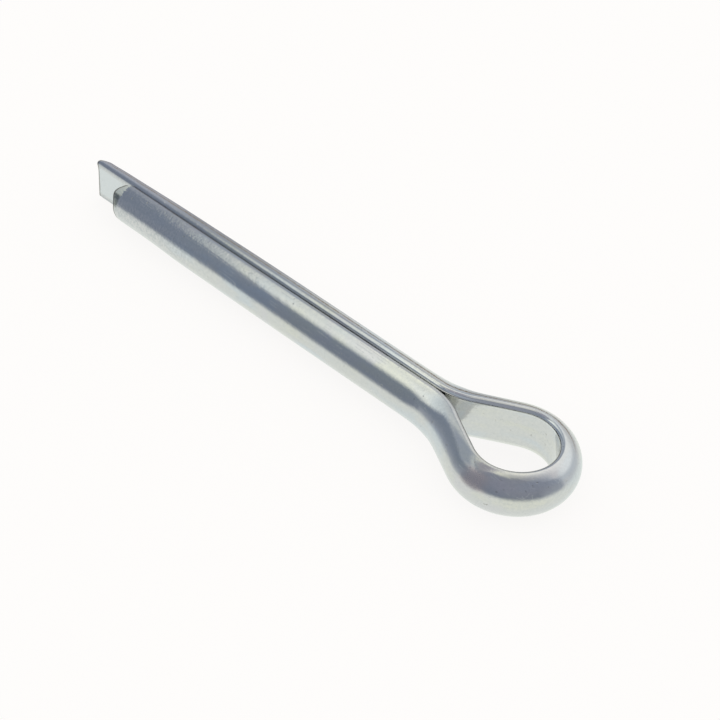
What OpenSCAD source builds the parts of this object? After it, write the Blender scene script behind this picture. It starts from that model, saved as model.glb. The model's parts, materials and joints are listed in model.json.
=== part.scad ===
// Cotter pin, also called a split pin: one length of half-round wire, folded flat face to flat face.
// The two legs lie together as a round shank, and the fold is opened into an eye shaped like a teardrop.
// The origin is on the shank's axis where the legs start to part. +X runs down the shank to the leg
// ends, the eye lies towards -X, and the pin lies on its side, so Z is the axis of the eye.

/* [Wire] */
// Diameter of the closed shank, which the two half-round legs make together
shank_d = 4.4; // [3.6:0.1:5.2]
// Gap left between the flat faces of the closed legs
leg_gap = 0.1; // [0.04:0.02:0.3]
// Radius that drawing the wire leaves on both edges of its flat face
wire_edge_r = 0.42; // [0.2:0.02:0.56]

/* [Legs] */
// Length of the short leg, from where the legs part to its end
short_leg = 37.3; // [20:0.1:60]
// How far the long leg reaches past the short one, so that a tool can catch it
leg_step = 4.7; // [1:0.1:8]
// Radius that the shears roll over on the outside of each leg's end
end_roll_r = 0.66; // [0.2:0.02:0.8]

/* [Eye] */
// Inside diameter of the eye's round end
eye_d = 6.8; // [5:0.1:8.4]
// Radius of the bend where each leg turns out of the shank, on its flat face
throat_r = 6.2; // [4:0.1:8]
// Angle that the throat bend turns each leg away from the shank
throat_angle = 32; // [24:0.5:44]
// Angle that the long, nearly straight flank turns back before the round end
flank_turn = 3; // [1:0.5:6]

/* [Hidden] */
$fn = 128;

plate_colour = [0.74, 0.76, 0.76];
shank_r = shank_d / 2;
eye_r = eye_d / 2;
half_gap = leg_gap / 2;
long_leg = short_leg + leg_step;

// Each edge circle of the wire touches the flat face and, from inside, the shank's circle.
edge_z = sqrt(pow(shank_r - wire_edge_r, 2) - pow(half_gap + wire_edge_r, 2));
edge_angle = atan2(edge_z, half_gap + wire_edge_r);

// The flank's radius is the one at which the round end, tangent to it, is centred on the shank's axis.
eye_angle = throat_angle - flank_turn;
flank_room = eye_r * cos(eye_angle) - throat_r * (1 - cos(throat_angle)) - half_gap;
flank_r = flank_room / (cos(eye_angle) - cos(throat_angle));
flank_x = (throat_r + flank_r) * sin(throat_angle);
flank_y = half_gap + throat_r - (throat_r + flank_r) * cos(throat_angle);
eye_x = flank_x - (flank_r - eye_r) * sin(eye_angle);

// Places are moved to in two steps, a round one and a fine one, so that each bend starts
// exactly where the one before it ends.
module place(x, y) {
    round_x = round(x * 1000) / 1000;
    round_y = round(y * 1000) / 1000;
    translate([round_x, round_y])
        translate([x - round_x, y - round_y])
            children();
}

// The flat face lies on the Y axis of this outline, and the round back faces +X.
module wire_section() {
    wedge_x = 2 * shank_r;
    wedge_y = wedge_x * tan(edge_angle);
    translate([0, -edge_z])
        square([wire_edge_r, 2 * edge_z]);
    for (side = [-1, 1])
        translate([wire_edge_r, side * edge_z])
            circle(r = wire_edge_r);
    intersection() {
        translate([-half_gap, 0])
            circle(r = shank_r);
        translate([-half_gap, 0])
            polygon([[0, 0], [wedge_x, -wedge_y], [wedge_x, wedge_y]]);
        translate([0, -shank_r])
            square([shank_r, 2 * shank_r]);
    }
}

// A leg ends square, with the outside of its end rolled over by the shears.
module leg_end_envelope(length) {
    rotate([0, 90, 0])
        rotate_extrude() {
            square([shank_d, length - end_roll_r]);
            square([shank_r - end_roll_r, length]);
            translate([shank_r - end_roll_r, length - end_roll_r])
                circle(r = end_roll_r);
        }
}

// The legs and bends are drawn on the +Y side, and the other side is their mirror image.
module leg(length) {
    intersection() {
        translate([0, half_gap, 0])
            rotate([90, 0, 90])
                linear_extrude(length)
                    wire_section();
        leg_end_envelope(length);
    }
}

// A bend of the wire from one angle to the next about a centre that its flat face is radius away from.
// The flat face looks at the centre, or away from it when outward is true.
module bend(x, y, radius, start_angle, turn, outward = false) {
    place(x, y)
        rotate_extrude(angle = turn, start = start_angle)
            place(radius, 0)
                mirror([outward ? 1 : 0, 0])
                    wire_section();
}

module throat() {
    bend(0, half_gap + throat_r, throat_r, -90 - throat_angle, throat_angle, true);
}

module flank() {
    bend(-flank_x, flank_y, flank_r, 90 - throat_angle, flank_turn);
}

module round_end() {
    bend(-eye_x, 0, eye_r, 90 - eye_angle, 180 + 2 * eye_angle);
}

module side_of_pin(length) {
    leg(length);
    throat();
    flank();
}

module cotter_pin() {
    color(plate_colour) {
        side_of_pin(short_leg);
        mirror([0, 1, 0])
            side_of_pin(long_leg);
        round_end();
    }
}

cotter_pin();
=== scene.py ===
# %% [markdown]
# # Cotter pin
# A cotter pin is one length of half-round steel wire. A machine folds it flat face to flat face round a
# pin of its own, so that the two legs make a round shank and the fold stays open as an eye. Then it is
# zinc plated. This lesson loads the packed CAD model as a fixed frame, rebuilds the wire with the small
# marks that shears and bending leave on it, gives it a plated finish, and sets it on a white table.

# %% Load the frame
import json
import math
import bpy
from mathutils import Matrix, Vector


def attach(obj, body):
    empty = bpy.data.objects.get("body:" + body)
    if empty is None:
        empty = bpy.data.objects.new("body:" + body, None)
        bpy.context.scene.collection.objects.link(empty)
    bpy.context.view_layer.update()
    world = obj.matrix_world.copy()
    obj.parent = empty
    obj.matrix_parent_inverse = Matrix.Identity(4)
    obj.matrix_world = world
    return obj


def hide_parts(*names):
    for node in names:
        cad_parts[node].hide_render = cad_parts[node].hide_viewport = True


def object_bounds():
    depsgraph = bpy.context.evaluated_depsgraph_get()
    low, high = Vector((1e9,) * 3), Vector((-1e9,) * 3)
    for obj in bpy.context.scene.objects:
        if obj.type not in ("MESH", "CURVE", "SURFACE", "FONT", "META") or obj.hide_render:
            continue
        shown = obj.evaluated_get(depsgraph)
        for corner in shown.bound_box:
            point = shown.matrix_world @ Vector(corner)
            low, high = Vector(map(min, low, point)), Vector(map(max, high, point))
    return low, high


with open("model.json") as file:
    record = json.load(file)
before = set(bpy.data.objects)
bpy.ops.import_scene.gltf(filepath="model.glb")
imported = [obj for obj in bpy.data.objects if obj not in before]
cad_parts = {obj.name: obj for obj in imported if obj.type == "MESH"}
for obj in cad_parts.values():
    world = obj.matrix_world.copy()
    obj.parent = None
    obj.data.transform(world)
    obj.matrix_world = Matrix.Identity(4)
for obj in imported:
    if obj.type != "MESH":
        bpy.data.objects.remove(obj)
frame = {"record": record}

from types import SimpleNamespace

import bmesh
import bpy
from mathutils import Matrix, Vector

cad_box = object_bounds()
MM = 0.001
print("CAD box, mm:", [[round(c / MM, 2) for c in corner] for corner in cad_box])

# %% [markdown]
# ## Camera
# The pin is small, so the camera stands only a hand's breadth away, above the pin's side and towards its
# eye end, and it is tilted a little. A long lens keeps the legs almost parallel. The camera is placed by
# its distance and two angles round a point on the shank, because those say where it stands more plainly
# than coordinates do.

# %% Camera
CAMERA_DISTANCE = 134 * MM
CAMERA_ABOVE = math.radians(40.76)
CAMERA_TOWARDS_EYE = math.radians(39.72)
CAMERA_ROLL = math.radians(5.54)
CAMERA_AIM = Vector((7.72, 0.44, 0)) * MM
LENS_MM = 80.6


def add_camera():
    """A camera that looks at CAMERA_AIM from the +Y side of the pin."""
    data = bpy.data.cameras.new("camera")
    data.lens = LENS_MM
    data.clip_start = 1 * MM
    camera = bpy.data.objects.new("camera", data)
    bpy.context.scene.collection.objects.link(camera)
    level = math.cos(CAMERA_ABOVE)
    to_camera = Vector((-math.sin(CAMERA_TOWARDS_EYE) * level,
                        math.cos(CAMERA_TOWARDS_EYE) * level,
                        math.sin(CAMERA_ABOVE)))
    facing = to_camera.to_track_quat("Z", "Y").to_matrix().to_4x4()
    place = Matrix.Translation(CAMERA_AIM + to_camera * CAMERA_DISTANCE)
    camera.matrix_world = place @ facing @ Matrix.Rotation(CAMERA_ROLL, 4, "Z")
    return camera


bpy.context.scene.camera = add_camera()
print("camera at, mm:", [round(c / MM, 1) for c in bpy.context.scene.camera.location])

# %% [markdown]
# ## The wire's sizes
# What the CAD model already says is read from the frame: the shank's radius and the eye's radius are mounts
# in its record, and the long leg ends where the CAD box does. The eye's centre is a mount there too, but it
# is worked out here from the sizes. The rest of the fold can't be read from there, so its few driving sizes
# are repeated here, and every other size is worked out from them, as the bends have to meet smoothly.

# %% The wire's sizes
mounts = {mount["name"]: mount for mount in frame["record"]["mounts"]}
SHANK_R = mounts["shank"]["dims"]["r_mm"] * MM
EYE_R = mounts["eye"]["dims"]["r_mm"] * MM
LONG_TIP = cad_box[1][0]
SHORT_TIP = 37.3 * MM
HALF_GAP = 0.05 * MM
EDGE_R = 0.42 * MM
THROAT_R = 6.2 * MM
THROAT_ANGLE = math.radians(32)
FLANK_TURN = math.radians(3)

EDGE_Z = math.sqrt((SHANK_R - EDGE_R) ** 2 - (HALF_GAP + EDGE_R) ** 2)
EDGE_ANGLE = math.atan2(EDGE_Z, HALF_GAP + EDGE_R)

EYE_ANGLE = THROAT_ANGLE - FLANK_TURN
flank_room = EYE_R * math.cos(EYE_ANGLE) - THROAT_R * (1 - math.cos(THROAT_ANGLE)) - HALF_GAP
FLANK_R = flank_room / (math.cos(EYE_ANGLE) - math.cos(THROAT_ANGLE))
FLANK_X = (THROAT_R + FLANK_R) * math.sin(THROAT_ANGLE)
FLANK_Y = HALF_GAP + THROAT_R - (THROAT_R + FLANK_R) * math.cos(THROAT_ANGLE)
EYE_X = FLANK_X - (FLANK_R - EYE_R) * math.sin(EYE_ANGLE)
print("eye centre, mm:", round(-EYE_X / MM, 3), "flank radius, mm:", round(FLANK_R / MM, 2))

# %% [markdown]
# ## The wire's outline
# Half-round wire is drawn through a die, which rounds the two edges of its flat face. Its outline could be
# a circle that is cut in half and bevelled, but a bevel on such short sides stops at the next corner. So
# one point is spun into an arc for each edge and for the back, and the flat is extruded back to the
# start. The arcs then meet smoothly, because each centre is worked out from the same sizes.

# %% The wire's outline
EDGE_STEPS = 8
BACK_STEPS = 44
FLAT_STEPS = 20
SAME_PLACE = 0.001 * MM


def new_verts(made):
    """The vertices among what a bmesh operator returns."""
    return [item for item in made if isinstance(item, bmesh.types.BMVert)]


def new_edges(made):
    """The edges among what a bmesh operator returns."""
    return [item for item in made if isinstance(item, bmesh.types.BMEdge)]


def add_arc(bm, point, centre, angle, steps):
    """Spins a point round an X axis through centre, and returns the arc's last point."""
    arc = bmesh.ops.spin(bm, geom=[point], cent=centre, axis=(1, 0, 0), angle=angle, steps=steps)
    return new_verts(arc["geom_last"])[0]


def add_line(bm, point, travel, steps):
    """Extrudes a point along a straight line in equal steps, and returns the line's last point."""
    line = bmesh.ops.spin(bm, geom=[point], cent=(0, 0, 0), axis=(1, 0, 0),
                          dvec=travel / steps, angle=0, steps=steps)
    return new_verts(line["geom_last"])[0]


def add_outline(bm, x):
    """The closed outline of the wire in the plane at x, with its flat towards the shank's axis."""
    edge_turn = math.radians(180) - EDGE_ANGLE
    point = bm.verts.new((x, HALF_GAP, EDGE_Z))
    point = add_arc(bm, point, (x, HALF_GAP + EDGE_R, EDGE_Z), -edge_turn, EDGE_STEPS)
    point = add_arc(bm, point, (x, 0, 0), -2 * EDGE_ANGLE, BACK_STEPS)
    point = add_arc(bm, point, (x, HALF_GAP + EDGE_R, -EDGE_Z), -edge_turn, EDGE_STEPS)
    add_line(bm, point, Vector((0, 0, 2 * EDGE_Z)), FLAT_STEPS)
    bmesh.ops.remove_doubles(bm, verts=bm.verts[:], dist=SAME_PLACE)
    return bm.edges[:]


SHORT_ROLL = 0.45 * MM

bm = bmesh.new()
ring = add_outline(bm, SHORT_TIP - SHORT_ROLL)
print("outline:", len(ring), "edges, closed:", all(len(vert.link_edges) == 2 for vert in bm.verts))

# %% [markdown]
# ## Sweeping the wire
# The outline is carried along the wire's path, ring by ring: down the short leg, round the first throat,
# along the flank, round the eye, and back the same way to the end of the long leg. Two values travel with
# each vertex, its way around the outline and its way along the wire, because extruding copies a vertex's
# values to the new one. They become the UV map, in millimetres, so that a finish can follow the wire round
# its bends.

# %% Sweeping the wire
STEP = 0.3 * MM
LONG_ROLL = 0.4 * MM
BURR = 0.2 * MM
along = bm.verts.layers.float.new("along")
around = bm.verts.layers.float.new("around")
for vert in bm.verts:
    vert[along] = SHORT_ROLL


def walk_outline(bm):
    """Writes each outline vertex's distance around the wire, from the middle of the flat face."""
    start = min(bm.verts, key=lambda v: abs(v.co.z) + abs(v.co.y - HALF_GAP))
    before, here, distance = None, start, 0.0
    while True:
        here[around] = distance
        ways = [edge for edge in here.link_edges if edge is not before]
        way = ways[0] if before else max(ways, key=lambda e: e.other_vert(here).co.z)
        distance += way.calc_length()
        before, here = way, way.other_vert(here)
        if here is start:
            return distance


def extrude_ring(bm, ring, step_length):
    """Extrudes a ring of edges once, and returns the new ring and its vertices, still in the same place."""
    made = bmesh.ops.extrude_edge_only(bm, edges=ring)["geom"]
    verts = new_verts(made)
    fresh = set(verts)
    for vert in verts:
        vert[along] += step_length
    return [edge for edge in new_edges(made) if fresh.issuperset(edge.verts)], verts


def carry_straight(bm, ring, travel):
    """Carries the ring along a straight stretch of the wire."""
    steps = math.ceil(travel.length / STEP)
    for _ in range(steps):
        ring, verts = extrude_ring(bm, ring, travel.length / steps)
        bmesh.ops.translate(bm, verts=verts, vec=travel / steps)
    return ring


def carry_round(bm, ring, centre, radius, turn):
    """Carries the ring round a bend, whose radius is that of the wire's flat face."""
    steps = math.ceil(abs(turn) * (radius + SHANK_R / 2) / STEP)
    step_turn = Matrix.Rotation(turn / steps, 3, "Z")
    for _ in range(steps):
        ring, verts = extrude_ring(bm, ring, radius * abs(turn) / steps)
        bmesh.ops.rotate(bm, verts=verts, cent=centre, matrix=step_turn)
    return ring


section_length = walk_outline(bm)
short_ring = ring
ring = carry_straight(bm, ring, Vector((SHORT_ROLL - SHORT_TIP, 0, 0)))
ring = carry_round(bm, ring, (0, HALF_GAP + THROAT_R, 0), THROAT_R, -THROAT_ANGLE)
ring = carry_round(bm, ring, (-FLANK_X, FLANK_Y, 0), FLANK_R, FLANK_TURN)
ring = carry_round(bm, ring, (-EYE_X, 0, 0), EYE_R, math.pi + 2 * EYE_ANGLE)
ring = carry_round(bm, ring, (-FLANK_X, -FLANK_Y, 0), FLANK_R, FLANK_TURN)
ring = carry_round(bm, ring, (0, -HALF_GAP - THROAT_R, 0), THROAT_R, -THROAT_ANGLE)
long_ring = carry_straight(bm, ring, Vector((LONG_TIP - BURR - LONG_ROLL, 0, 0)))
wire_length = max(v[along] for v in bm.verts) + LONG_ROLL
fold = (wire_length + SHORT_TIP - LONG_TIP + BURR) / 2
print("wire, mm:", round(wire_length / MM, 1), "round its outline, mm:", round(section_length / MM, 2))

# %% [markdown]
# ## Sheared ends
# The legs are cut by shears. The blade first drags the wire's surface over its end, and then the rest
# breaks off, so a cut end has a rolled shoulder, a crisp lip inside it and a rough face. The shoulder
# could be a bevel, but it isn't the same all round. So each ring is drawn in towards a pivot on the flat
# face, which keeps the side near the pivot sharp. The last ring flares out again into the lip, and the
# face is closed by smaller rings to a point.

# %% Sheared ends
ROLL_STEPS = 7
ROLL_CURVE = 1.5
LIP = 0.05 * MM
LIP_FLARE = 1.012
CAP_SIZES = (0.93, 0.8, 0.6, 0.4, 0.2)
SHORT_SHOULDER = 0.05
SHORT_PIVOT = (HALF_GAP, -1.6 * MM)
SHORT_MIDDLE = (0.9 * MM, -0.1 * MM)
LONG_SHOULDER = 0.04
LONG_PIVOT = (-HALF_GAP, -0.8 * MM)
LONG_MIDDLE = (-0.9 * MM, 0.1 * MM)


def draw_in(bm, verts, travel, factor, pivot):
    """Moves a ring along the leg and scales it towards a pivot in its own plane."""
    bmesh.ops.translate(bm, verts=verts, vec=(travel, 0, 0))
    from_pivot = Matrix.Translation((0, -pivot[0], -pivot[1]))
    bmesh.ops.scale(bm, verts=verts, vec=(1, factor, factor), space=from_pivot)


def shear_end(bm, ring, roll, shoulder, pivot, middle, way):
    """Rolls a leg's end over to a lip and closes it.

    Shoulder is how much of its size the ring loses on the way to the lip. Pivot and middle are the Y and Z
    of the point that it shrinks towards there, and of the point that closes the face. Way is 1 where the
    wire ends, and -1 at its start.
    """
    reach, size = 0.0, 1.0
    for number in range(1, ROLL_STEPS + 1):
        share = number / ROLL_STEPS
        new_reach = (roll - LIP) * share
        new_size = 1 - shoulder * share ** ROLL_CURVE
        ring, verts = extrude_ring(bm, ring, way * (new_reach - reach))
        draw_in(bm, verts, new_reach - reach, new_size / size, pivot)
        reach, size = new_reach, new_size
    ring, verts = extrude_ring(bm, ring, way * LIP)
    draw_in(bm, verts, LIP, LIP_FLARE, pivot)
    for edge in ring:
        edge.smooth = False
    size = 1.0
    for new_size in CAP_SIZES:
        ring, verts = extrude_ring(bm, ring, way * SHANK_R / 2 * (size - new_size))
        draw_in(bm, verts, 0, new_size / size, middle)
        size = new_size
    bmesh.ops.pointmerge(bm, verts=verts, merge_co=(verts[0].co.x, *middle))


shear_end(bm, short_ring, SHORT_ROLL, SHORT_SHOULDER, SHORT_PIVOT, SHORT_MIDDLE, -1)
shear_end(bm, long_ring, LONG_ROLL, LONG_SHOULDER, LONG_PIVOT, LONG_MIDDLE, 1)
bmesh.ops.recalc_face_normals(bm, faces=bm.faces[:])
print("closed:", all(edge.is_manifold for edge in bm.edges),
      "volume, mm3:", round(bm.calc_volume() / MM ** 3, 1))

# %% [markdown]
# ## Smooth shares
# A folded wire isn't as even as its drawing. Its marks could be sculpted by hand, or be a displacement
# that the renderer adds, but a few tenths of a millimetre of real shape also has to be in the mesh. So
# each mark is a smooth move of the vertices near it, and its strength at a vertex comes from two small
# functions: a ramp from 0 to 1, and a bell that is 1 in its middle.

# %% Smooth shares
def ramp(low, high, value):
    """0 at low and 1 at high, with a smooth way between, also where low is above high."""
    share = min(max((value - low) / (high - low), 0.0), 1.0)
    return share * share * (3 - 2 * share)


def bell(middle, width, value):
    """1 at the middle, and fading away smoothly over the width on both sides."""
    return math.exp(-((value - middle) / width) ** 2)


print("half way up a ramp:", ramp(0, 1, 0.5), "and one width down a bell:", round(bell(0, 1, 1), 3))

# %% [markdown]
# ## Marks of the shears
# The blades drag the top of the short leg's back out past its lip, and the corner beside the gap breaks
# away. On the long leg they leave a small burr on the flat's top corner, and bend the top of the back
# down a little. The widths are in degrees round the leg or in millimetres.

# %% Marks of the shears
END_DRAG = 0.5 * MM
DRAG_SIDE = 45
DRAG_WIDTH = 22
BURR_CORNER = (-0.2 * MM, 1.85 * MM)
BURR_WIDTH = 0.4 * MM
TOP_DROP = 0.1 * MM


def shape_short_end(bm):
    """The shears drag the top of the back out, and break the corner beside the gap away."""
    for vert in bm.verts:
        close = ramp(SHORT_TIP - 0.6 * MM, SHORT_TIP, vert.co.x)
        if vert.co.y < 0 or close == 0:
            continue
        side = math.degrees(math.atan2(vert.co.z, vert.co.y))
        dragged = bell(DRAG_SIDE, DRAG_WIDTH, side) * min(vert.co.y / MM, 1.0)
        broken = ramp(1.2, 2.1, vert.co.z / MM) * ramp(0.65, 0.15, vert.co.y / MM)
        vert.co.x += close * END_DRAG * (dragged - broken)


def shape_long_end(bm):
    """A burr stands on the top corner of the flat face, and the top of the back is dragged down."""
    for vert in bm.verts:
        if vert.co.y > 0 or vert.co.x < LONG_TIP - 4 * MM:
            continue
        from_corner = math.hypot(vert.co.y - BURR_CORNER[0], vert.co.z - BURR_CORNER[1])
        burr = bell(0, BURR_WIDTH, from_corner) * ramp(LONG_TIP - 1.0 * MM, LONG_TIP - BURR, vert.co.x)
        top = ramp(0.2, 1.6, vert.co.z / MM) * ramp(0.1, 1.2, -vert.co.y / MM)
        vert.co.x += 0.95 * BURR * burr
        vert.co.z -= TOP_DROP * top * ramp(LONG_TIP - 3.5 * MM, LONG_TIP - BURR, vert.co.x)


shape_short_end(bm)
shape_long_end(bm)
print("long leg's end, mm:", round(max(vert.co.x for vert in bm.verts) / MM, 2))

# %% [markdown]
# ## Marks of the jaws
# The jaws that close the legs press them together towards their tips, and thin them there. Between the
# tips and the throats they leave each leg a little swollen. The places are in millimetres down the shank.

# %% Marks of the jaws
PRESSED_FROM = 12
PRESSED_TO = 42
CLOSED_SHARE = 0.8
SHORT_SWELL = 0.022
SHORT_THINNING = 0.055
LONG_SWELL = 0.03
LONG_THINNING = 0.12
LONG_NARROWING = 0.03


def press_legs(bm):
    """The legs touch at their tips, and the jaws that closed them left each of them a little uneven."""
    for vert in bm.verts:
        x = vert.co.x / MM
        pressed = ramp(PRESSED_FROM, PRESSED_TO, x)
        closed = CLOSED_SHARE * HALF_GAP * pressed
        if vert.co.y > 0:
            underside = ramp(0.3, -0.9, vert.co.z / MM)
            size = 1 + underside * (SHORT_SWELL * bell(18, 10, x) - SHORT_THINNING * ramp(28, 34, x))
            vert.co.y = vert.co.y * size - closed
            vert.co.z *= min(size, 1)
        else:
            size = 1 + LONG_SWELL * bell(20, 8, x) - LONG_THINNING * ramp(30, 41, x)
            vert.co.y = vert.co.y * size + closed
            vert.co.z *= 1 - LONG_NARROWING * pressed


press_legs(bm)
print("volume, mm3:", round(bm.calc_volume() / MM ** 3, 1))

# %% [markdown]
# ## Marks of bending
# Wire that is bent gets thicker on the inside of the bend and thinner on the outside. So the back of the
# wire bulges in each throat, and the round end is thinner where it is bent most, with a sunken inner face.

# %% Marks of bending
THROAT_BULGE = 0.22 * MM
THINNING = 0.055
SINKING = 0.015 * MM


def upset_throats(bm):
    """The inside of each throat's bend is squeezed, so the back of the wire is thicker there."""
    for vert in bm.verts:
        back = ramp(0.9, 2.0, abs(vert.co.y) / MM)
        bulge = THROAT_BULGE * back * bell(-1.1, 1.5, vert.co.x / MM)
        vert.co.y += math.copysign(bulge, vert.co.y)


def stretch_round_end(bm):
    """The bend stretches the wire, so it is thinner there, and its inner face sinks."""
    outer = EYE_R + SHANK_R - HALF_GAP
    for vert in bm.verts:
        spoke = Vector((vert.co.x + EYE_X, vert.co.y, 0))
        angle = abs(math.degrees(math.atan2(spoke.y, -spoke.x)))
        bent = ramp(125, 80, angle)
        if vert.co.x < -4 * MM and bent > 0:
            depth = outer - spoke.length
            vert.co += spoke.normalized() * (THINNING * depth - SINKING) * bent


upset_throats(bm)
stretch_round_end(bm)
print("volume, mm3:", round(bm.calc_volume() / MM ** 3, 1))

# %% [markdown]
# ## The piece
# The bmesh becomes a mesh on an object, shaded smooth apart from the sharp lips. The UV map could be
# unwrapped by an operator, but the two values that each vertex has carried along are the very thing a
# finish needs. Where a face crosses the seam in the middle of the flat, its low values go once round.
# The piece then stands for the CAD node, and rides on the one body there is.

# %% The piece
def write_uv_map(mesh, bm):
    """The UV map holds the way along the wire and the way around it, both in millimetres."""
    uv = bm.loops.layers.uv.new("wire")
    for face in bm.faces:
        ways = [loop.vert[around] for loop in face.loops]
        over_seam = max(ways) - min(ways) > section_length / 2
        for loop, way in zip(face.loops, ways):
            if over_seam and way < section_length / 2:
                way += section_length
            loop[uv].uv = (loop.vert[along] / MM, way / MM)
    bm.to_mesh(mesh)


mesh = bpy.data.meshes.new("plated_wire")
for face in bm.faces:
    face.smooth = True
write_uv_map(mesh, bm)
bm.free()
piece = bpy.data.objects.new("plated_wire", mesh)
bpy.context.scene.collection.objects.link(piece)
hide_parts("cotter_pin")
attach(piece, "root")
print("faces:", len(mesh.polygons))

# %% [markdown]
# ## Nodes as arithmetic
# A finish is mostly arithmetic on masks. Adding each Math node by hand hides it, so one small class wraps
# a node's output and adds the Math nodes for +, -, * and so on, and one method adds any other node: its
# type, the settings that choose how it works, then what its sockets get.

# %% Nodes as arithmetic
class Signal:
    """A node's output. Arithmetic on it adds Math nodes."""

    def __init__(self, tree, socket):
        self.tree = tree
        self.socket = socket

    def node(self, kind, settings=None, sockets=None, output=0):
        """Adds a node, sets it up, gives its sockets values or signals, and returns one of its outputs."""
        node = self.tree.nodes.new(kind)
        for name, value in (settings or {}).items():
            setattr(node, name, value)
        for name, value in (sockets or {}).items():
            if isinstance(value, Signal):
                self.tree.links.new(value.socket, node.inputs[name])
            else:
                node.inputs[name].default_value = value
        return Signal(self.tree, node.outputs[output] if node.outputs else None)

    def math(self, operation, *values):
        return self.node("ShaderNodeMath", {"operation": operation}, dict(enumerate(values)))

    def __add__(self, other):
        return self.math("ADD", self, other)

    def __sub__(self, other):
        return self.math("SUBTRACT", self, other)

    def __rsub__(self, other):
        return self.math("SUBTRACT", other, self)

    def __mul__(self, other):
        return self.math("MULTIPLY", self, other)

    def __truediv__(self, other):
        return self.math("DIVIDE", self, other)

    def __pow__(self, other):
        return self.math("POWER", self, other)

    def __abs__(self):
        return self.math("ABSOLUTE", self)

    __radd__ = __add__
    __rmul__ = __mul__

    def rise(self, low, high):
        """0 below low and 1 above high, with a smooth way between. With low above high it falls."""
        return self.node("ShaderNodeMapRange", {"interpolation_type": "SMOOTHSTEP"},
                         {"Value": self, "From Min": low, "From Max": high})

    def pick(self, colour, other):
        """Mixes two colours by this signal: colour where it is 0, and other where it is 1."""
        return self.node("ShaderNodeMix", {"data_type": "RGBA"},
                         {"Factor": self, "A": colour, "B": other}, output="Result")

    def dot(self, direction):
        """How far this vector points along a direction."""
        return self.node("ShaderNodeVectorMath", {"operation": "DOT_PRODUCT"},
                         {0: self, 1: direction}, output="Value")

    def part(self, name):
        """One coordinate of this vector: X, Y or Z."""
        return self.node("ShaderNodeSeparateXYZ", sockets={0: self}, output=name)


def new_material(name):
    """An empty node material, and a signal that adds nodes to it."""
    material = bpy.data.materials.new(name)
    material.use_nodes = True
    material.node_tree.nodes.clear()
    return material, Signal(material.node_tree, None)


def place_in_mm(here):
    """A place on the object itself, in millimetres."""
    metres = here.node("ShaderNodeTexCoord", output="Object")
    return here.node("ShaderNodeVectorMath", {"operation": "SCALE"}, {0: metres, "Scale": 1 / MM})


def colour(red, green, blue):
    return (red, green, blue, 1)


print("what a signal can do:", [name for name in vars(Signal) if not name.startswith("__")])

# %% [markdown]
# ## What the metal sees
# Bare plated metal has hardly any colour of its own to show: it shows the room. So the world is built as
# a small studio, and only glossy rays see it. All other rays see plain white, so the light itself stays
# even and a colour renders as written. The studio could be built of walls and lamps, but a world costs no
# geometry, and its patches are easily moved. Each is a mask on the direction of a ray, so a few functions
# come first that measure directions in degrees.

# %% Angles in the room
def towards(side_angle, above=0.0):
    """A direction. The side angle is from +Y towards +X, in degrees, and above is from the level."""
    side = math.radians(side_angle)
    level = math.cos(math.radians(above))
    return (math.sin(side) * level, math.cos(side) * level, math.sin(math.radians(above)))


def cos_deg(angle):
    return math.cos(math.radians(angle))


def sin_deg(angle):
    return math.sin(math.radians(angle))


def patch(way, side_angle, above, outer, inner):
    """1 within inner degrees of a direction, and 0 beyond outer degrees."""
    return way.dot(towards(side_angle, above)).rise(cos_deg(outer), cos_deg(inner))


def wall(way, level, side_angle, outer, inner):
    """The same for the side angle alone, from the floor to the ceiling."""
    return (way.dot(towards(side_angle)) / level).rise(cos_deg(outer), cos_deg(inner))


def climb(height, low, high):
    """0 below the low angle from the level and 1 above the high one. With low above high it falls."""
    return height.rise(sin_deg(low), sin_deg(high))


print("towards the back wall:", [round(part, 2) for part in towards(-168)])

# %% [markdown]
# ## The room
# The room has a white table below, a dark front on the viewer's side, a paler wall behind the pin, and
# daylight above and behind the eye. It is a stack of soft patches, each laid over the one before it. The
# edge of the table is rolled down in front, where it is nearest.

# %% The room
CORNERS = colour(0.405, 0.443, 0.50)
ROLLED_EDGE = 0.12
NEVER_ZERO = 0.0001


def room_layers(way):
    """The patches of the room from the lowest to the topmost, each a mask and a colour."""
    height = way.part("Z")
    level = (1 - height * height + NEVER_ZERO) ** 0.5
    front = wall(way, level, -23, 68, 59) * climb(height, 90, 74)
    table_edge = height + ROLLED_EDGE * wall(way, level, 22, 16, 8)
    shade = wall(way, level, 137, 13, 6) * climb(height, -61, -28) * climb(height, 0, -15)
    skirting = wall(way, level, 144, 51, 6) * climb(abs(height - sin_deg(2.5)), 4.5, 1.2)
    return {
        "overhead light": (climb(height, 54, 61), colour(1.33, 1.34, 1.14)),
        "back wall": (wall(way, level, -168, 48, 41), colour(0.705, 0.725, 0.735)),
        "window": (patch(way, -164, 53, 42, 26), colour(1.065, 1.07, 1.03)),
        "front wall": (front, colour(0.24, 0.278, 0.34)),
        "front, towards the eye": (patch(way, -61, 46, 67, 0), colour(0.31, 0.33, 0.39)),
        "front, towards the tips": (patch(way, 64, 37, 42, 8), colour(0.245, 0.29, 0.36)),
        "table": (climb(table_edge, 1, -21), colour(0.93, 0.965, 0.915)),
        "shade on the table": (shade, colour(0.33, 0.335, 0.37)),
        "skirting": (skirting, colour(0.255, 0.185, 0.11)),
    }


def add_world():
    """The studio: the room for glossy rays, and plain white for all others."""
    world = bpy.data.worlds.new("studio")
    world.use_nodes = True
    world.node_tree.nodes.clear()
    here = Signal(world.node_tree, None)
    way = here.node("ShaderNodeTexCoord", output="Generated")
    room = CORNERS
    for mask, paint in room_layers(way).values():
        room = mask.pick(room, paint)
    glossy = here.node("ShaderNodeLightPath", output="Is Glossy Ray")
    seen = glossy.pick(colour(1, 1, 1), room)
    background = here.node("ShaderNodeBackground", sockets={"Color": seen, "Strength": 1.0})
    here.node("ShaderNodeOutputWorld", sockets={"Surface": background})
    return world


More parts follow.
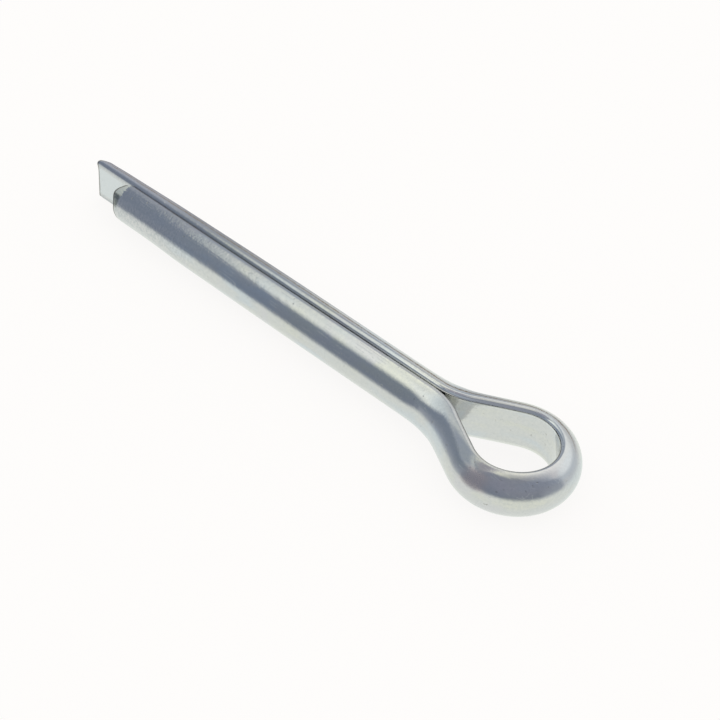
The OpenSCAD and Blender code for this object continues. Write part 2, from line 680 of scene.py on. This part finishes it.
bpy.context.scene.world = add_world()
print("world nodes:", len(bpy.context.scene.world.node_tree.nodes))

# %% [markdown]
# ## Cards near the pin
# The bright stripe along the shank fades out towards the tips, and the neck of the eye stays darker than
# the shank. No far light does that to a straight bar. It takes things near the pin: a soft light that
# hangs beyond the tips, a grey flag over the shank, and a small flag close above the flank of the eye.
# Each is a flat card that only glossy rays meet, and it thins out towards its rim, so that its edge
# doesn't show.

# %% Cards near the pin
LIGHT_HEIGHT = 60 * MM
FLAG_HEIGHT = LIGHT_HEIGHT - 0.3 * MM
NECK_HEIGHT = 5.5 * MM


def add_mesh_object(name, bm):
    """Makes an object at the origin from a bmesh, and frees it."""
    mesh = bpy.data.meshes.new(name)
    bm.to_mesh(mesh)
    bm.free()
    made = bpy.data.objects.new(name, mesh)
    bpy.context.scene.collection.objects.link(made)
    return made


def add_card(name, low, high, above, cover, glow):
    """A level card from one corner to the other, in mm. Cover gives its glowing share at a place on it."""
    bm = bmesh.new()
    bmesh.ops.create_grid(bm, x_segments=1, y_segments=1, size=0.5)
    bmesh.ops.scale(bm, verts=bm.verts[:], vec=((high[0] - low[0]) * MM, (high[1] - low[1]) * MM, 1))
    middle = ((low[0] + high[0]) / 2 * MM, (low[1] + high[1]) / 2 * MM, above)
    bmesh.ops.translate(bm, verts=bm.verts[:], vec=middle)
    card = add_mesh_object(name, bm)
    material, here = new_material(name)
    clear = here.node("ShaderNodeBsdfTransparent")
    light = here.node("ShaderNodeEmission", sockets={"Color": glow})
    both = here.node("ShaderNodeMixShader", sockets={0: cover(place_in_mm(here)), 1: clear, 2: light})
    here.node("ShaderNodeOutputMaterial", sockets={"Surface": both})
    card.data.materials.append(material)
    card.visible_camera = False
    card.visible_diffuse = False
    card.visible_transmission = False
    card.visible_shadow = False
    return card


# %% [markdown]
# ## What the cards cover
# A plain card would show its straight rim in the metal. So each card has a cover, the share of it that
# glows at a place, made of soft rises across it in millimetres.

# %% What the cards cover
FLAG_MIDDLE = (12.5, 7, 0)
FLAG_REACH = (16, 43.5, 1000)


def light_cover(place):
    """The light is brightest where a shade cuts it off towards the eye, and soft on its other sides."""
    x, y = place.part("X"), place.part("Y")
    across = x.rise(27, 29) * (1 - 0.14 * x.rise(38, 48)) * x.rise(80, 54)
    return across * y.rise(-57, 29) * y.rise(77, 28)


def flag_cover(place):
    """The flag is an oval that is densest in its middle."""
    share = place.node("ShaderNodeMapping", {"vector_type": "TEXTURE"},
                       {"Vector": place, "Location": FLAG_MIDDLE, "Scale": FLAG_REACH})
    from_middle = share.node("ShaderNodeVectorMath", {"operation": "LENGTH"}, {0: share}, output="Value")
    return from_middle.rise(1.0, 0.25)


def neck_cover(place):
    """The small flag covers the flank of the eye, and leaves the shank its light."""
    x, y = place.part("X"), place.part("Y")
    return x.rise(1.4, -1.0) * x.rise(-7, -4) * y.rise(1.2, 2.8) * y.rise(9, 6.5)


add_card("light_card", (26, -58), (81, 78), LIGHT_HEIGHT, light_cover, colour(1.14, 1.18, 1.10))
add_card("grey_flag", (-4, -37), (29, 51), FLAG_HEIGHT, flag_cover, colour(0.40, 0.395, 0.46))
add_card("neck_flag", (-8, 1), (1.5, 9), NECK_HEIGHT, neck_cover, colour(0.38, 0.43, 0.505))

# %% [markdown]
# ## Table
# The table is plain and nearly white. Most of its paleness is a weak glow, so it stays white to the eye
# while the light keeps to its level, and the rest is a matt white that takes the pin's soft shadow.
# Glossy rays don't meet it, because the room already holds a table for them.

# %% Table
FLOOR_SIZE = 1.5
GLOWING_SHARE = 0.88


def add_floor():
    """The table top, under the lowest point of the pin."""
    bm = bmesh.new()
    bmesh.ops.create_grid(bm, x_segments=1, y_segments=1, size=FLOOR_SIZE / 2)
    bmesh.ops.translate(bm, verts=bm.verts[:], vec=(0, 0, cad_box[0][2]))
    floor = add_mesh_object("floor", bm)
    material, here = new_material("table")
    matt = here.node("ShaderNodeBsdfDiffuse", sockets={"Color": colour(0.93, 0.92, 0.91)})
    glow = here.node("ShaderNodeEmission", sockets={"Color": colour(1.0, 0.987, 0.975)})
    both = here.node("ShaderNodeMixShader", sockets={0: GLOWING_SHARE, 1: matt, 2: glow})
    here.node("ShaderNodeOutputMaterial", sockets={"Surface": both})
    floor.data.materials.append(material)
    floor.visible_glossy = False
    return floor


table_top = add_floor()
print("table top at, mm:", round(table_top.data.vertices[0].co.z / MM, 2))

# %% [markdown]
# ## Patterns of the skin
# Bright zinc is a thin plated skin over drawn wire, with a clear passivation on it. It shows a crystal
# frost, fine grain, the wire's drawing lines, small pits and handling scratches. An image could hold all
# that, but noise made by nodes stays sharp at any distance and needs no file. The drawing lines and the
# tints follow the wire round its bends, so they read the UV map, rolled up into a tube so that no seam
# shows. The others read the pin's own coordinates.

# %% Patterns of the skin
def noise(vector, scale, detail=2.0, roughness=0.5):
    """Fractal noise from 0 to 1, mostly close to 0.5."""
    return vector.node("ShaderNodeTexNoise", sockets={"Vector": vector, "Scale": scale, "Detail": detail,
                                                      "Roughness": roughness})


def stretch(vector, scale, turn=(0, 0, 0)):
    """Turns and scales the coordinates a pattern is drawn on."""
    return vector.node("ShaderNodeMapping", sockets={"Vector": vector, "Rotation": turn, "Scale": scale})


def wire_coordinates(here):
    """Millimetres along the wire and around it, and a vector that is seamless round it."""
    uv = here.node("ShaderNodeUVMap", {"uv_map": "wire"})
    way_along, way_around = uv.part("X"), uv.part("Y")
    turn = way_around * (2 * math.pi * MM / section_length)
    radius = section_length / MM / (2 * math.pi)
    wire = here.node("ShaderNodeCombineXYZ", sockets={
        "X": way_along, "Y": turn.math("COSINE", turn) * radius, "Z": turn.math("SINE", turn) * radius})
    return way_along, way_around, wire


def skin_patterns(place, wire):
    """The patterns that are all over the skin, each from 0 to 1."""
    scratch = noise(stretch(place, (0.15, 3.0, 3.0), (0.3, 0.2, 0.5)), 0.8, 0.0)
    scratch = abs(scratch - 0.5).rise(0.006, 0.001) * noise(place, 0.7, 1.0).rise(0.52, 0.60)
    frost = noise(place, 4.5, 2.0, 0.6)
    return SimpleNamespace(
        frost=frost,
        speckle=(frost - 0.5).rise(-0.22, 0.22),
        grain=noise(place, 1.6),
        lines=noise(stretch(wire, (0.2, 5.0, 5.0)), 1.0, 2.0, 0.6),
        clouds=noise(place, 0.3),
        tints=noise(stretch(wire, (0.16, 0.5, 0.5)), 1.0),
        pits=noise(stretch(place, (1, 1, 1), (1.2, 0.5, 0.3)), 3.4, 1.0, 0.4).rise(0.72, 0.80),
        scratch=scratch)


print("round the wire's outline, mm:", round(section_length / MM, 2))

# %% [markdown]
# ## Marks of making
# The rest of the finish belongs to one place on the wire each. The frost is coarser on the back towards
# the tips. The edges of the flat are polished round the eye. Between the closed legs they are darkened
# as painted shade, for the shade in the groove between the legs. The shears leave a rim smeared over the
# short end, and a torn patch; that rim is also whitened, as a painted reflection of the pale table. The
# faces of the cuts are dark, and the same dark coat paints shade along the rim of each cut end. The
# bending tool rubs the back where the round end begins. The back of the long leg near its tip is painted
# paler, as a painted reflection of the pale fringe it shows there, and its flat has kept its brightness.
# Each mark is a product of soft rises in millimetres along the wire and around it, and a little frost
# makes the rims of the torn ones uneven.

# %% Marks of making
def making_marks(way_along, way_around, skin):
    """Where the machine and the shears have left their marks, and where shade and reflections are painted,
    each from 0 to 1.
    """
    from_long_end = wire_length / MM - way_along
    from_end = way_along.math("MINIMUM", way_along, from_long_end)
    from_flat = way_around.math("MINIMUM", way_around, section_length / MM - way_around)
    from_fold = abs(way_along - fold / MM)
    from_cut = way_along.math("MINIMUM", 1.5 * way_along, from_long_end)
    ragged = way_along + 0.5 * (skin.frost - 0.5)

    upper = way_around.rise(5.2, 3.9) * from_flat.rise(1.7, 2.6)
    rubbed = from_fold.rise(4.1, 5.0) * from_fold.rise(6.3, 5.4)
    return SimpleNamespace(
        upper=upper,
        near_end=from_end.rise(11.0, 4.0),
        near_tip=from_end.rise(14.0, 3.0),
        coarse=from_end.rise(26.0, 9.0) * upper,
        rubbed=rubbed * way_around.rise(3.0, 3.5) * way_around.rise(5.0, 4.4),
        kept=from_flat.rise(1.6, 1.3) * from_long_end.rise(4.6, 2.6),
        # The back near the long tip, painted paler as a painted reflection of the pale fringe it shows
        # there.
        paler_back_painted=from_flat.rise(1.75, 2.1) * from_long_end.rise(15.0, 7.0),
        edge=from_flat.rise(1.6, 1.8) * from_flat.rise(2.3, 2.0),
        # The edges of the flat: painted shade between the closed legs, for the shade in the groove, and
        # polished round the eye.
        closed=from_end.rise(40.0, 34.0),
        # The rim the shears smear over the short end: rougher, and whitened as a painted reflection of the
        # pale table.
        smeared=ragged.rise(0.68, 0.46) * way_around.rise(2.0, 2.4) * way_around.rise(3.95, 3.6),
        torn=ragged.rise(0.62, 0.40) * way_around.rise(3.5, 3.8) * way_around.rise(5.1, 4.6),
        # The faces of the cuts and the rims round them: dark as bare cuts, with painted shade along the
        # rims.
        sheared=(from_cut + 0.16 * (skin.grain - 0.5)).rise(0.19, 0.09))


print("the eye's middle lies", round(fold / MM, 1), "mm along the wire")

# %% [markdown]
# ## Colours of the finish
# Zinc is a pale grey metal, and passivation tints it faintly blue, yellow-green or violet where it is
# thicker. The colours are laid over each other like thin coats: each coat has a strength, which is its
# mask, and the colour that it brings. What lies on top comes last.

# %% Colours of the finish
BARE_ZINC = colour(0.665, 0.665, 0.66)


def colour_coats(skin, marks):
    """The coats of colour from the lowest to the topmost, each a strength and a colour."""
    speckled = 0.34 + 0.8 * marks.near_tip * (1 - 0.6 * marks.upper)
    return {
        "blue tint": (skin.tints.rise(0.50, 0.66), colour(0.62, 0.655, 0.695)),
        "yellow-green tint": (skin.tints.rise(0.48, 0.34), colour(0.685, 0.68, 0.63)),
        "violet tint": (skin.clouds.rise(0.55, 0.72), colour(0.66, 0.65, 0.67)),
        "violet tips": (0.8 * marks.near_end, colour(0.668, 0.652, 0.665)),
        "speckle": (speckled * skin.speckle, colour(0.54, 0.56, 0.58)),
        "pits": (0.6 * skin.pits, colour(0.36, 0.35, 0.33)),
        "scratches": (0.25 * skin.scratch, colour(0.80, 0.80, 0.79)),
        "rubbed back": (0.9 * marks.rubbed, colour(0.73, 0.625, 0.60)),
        "bright flat": (0.8 * marks.kept, colour(0.70, 0.73, 0.76)),
        # Painted reflection: the back near the long tip is painted paler.
        "painted reflection on the long back": (marks.paler_back_painted * (0.1 + 1.2 * skin.frost), colour(0.84, 0.81, 0.82)),
        # Painted shade in the groove between the closed legs.
        "painted groove shade": (0.5 * marks.edge * marks.closed, colour(0.36, 0.38, 0.42)),
        "polished edge": (0.7 * marks.edge * (1 - marks.closed), colour(0.80, 0.80, 0.78)),
        # Partly painted reflection: the rim is rougher, and its colour is whitened too.
        "rough smear with painted reflection": (0.9 * marks.smeared, colour(0.98, 0.98, 0.86)),
        "torn patch": (marks.torn * (skin.frost + 0.4), colour(0.20, 0.22, 0.21)),
        # Partly painted shade: the faces of the cuts are dark, and so is the rim round each cut end, as
        # painted shade.
        "dark cut and painted rim shade": (0.85 * marks.sheared, colour(0.30, 0.29, 0.27)),
    }


print("bare zinc:", BARE_ZINC[:3])

# %% [markdown]
# ## Zinc plate
# The shader is a plain metal. Its roughness is low, and higher where the skin is rubbed, smeared, torn or
# cut. Its relief is a bump of a few micrometres, as deep as real frost, because a mirror-like bar shows
# even that in the edges of its reflections.

# %% Zinc plate
POLISH = 0.09
RELIEF = 0.012 * MM


def skin_roughness(skin, marks):
    """The roughness of the skin, which every mark adds to."""
    skin_itself = POLISH + 0.04 * skin.grain + 0.03 * skin.speckle
    return skin_itself + 0.16 * marks.rubbed + 0.36 * marks.smeared + 0.2 * marks.torn + 0.2 * marks.sheared


def skin_height(skin, marks):
    """The relief of the skin, as a share of RELIEF."""
    frosted = (0.35 + 0.55 * marks.coarse) * skin.frost
    drawn = (0.2 + 1.2 * marks.coarse) * skin.lines
    return frosted + drawn + 0.6 * skin.grain - 0.6 * skin.pits - 0.25 * skin.scratch


def make_zinc():
    """The plated finish of the whole wire."""
    metal, here = new_material("zinc_plate")
    way_along, way_around, wire = wire_coordinates(here)
    skin = skin_patterns(place_in_mm(here), wire)
    marks = making_marks(way_along, way_around, skin)
    shade = BARE_ZINC
    for strength, coat in colour_coats(skin, marks).values():
        shade = strength.pick(shade, coat)
    normal = here.node("ShaderNodeBump", sockets={
        "Height": skin_height(skin, marks), "Strength": 1.0, "Distance": RELIEF})
    shader = here.node("ShaderNodeBsdfPrincipled", sockets={
        "Base Color": shade, "Roughness": skin_roughness(skin, marks), "Metallic": 1.0, "Normal": normal})
    here.node("ShaderNodeOutputMaterial", sockets={"Surface": shader})
    return metal


piece.data.materials.append(make_zinc())
print("zinc nodes:", len(piece.data.materials[0].node_tree.nodes))

# %% Colour view
bpy.context.scene.view_settings.view_transform = "Standard"
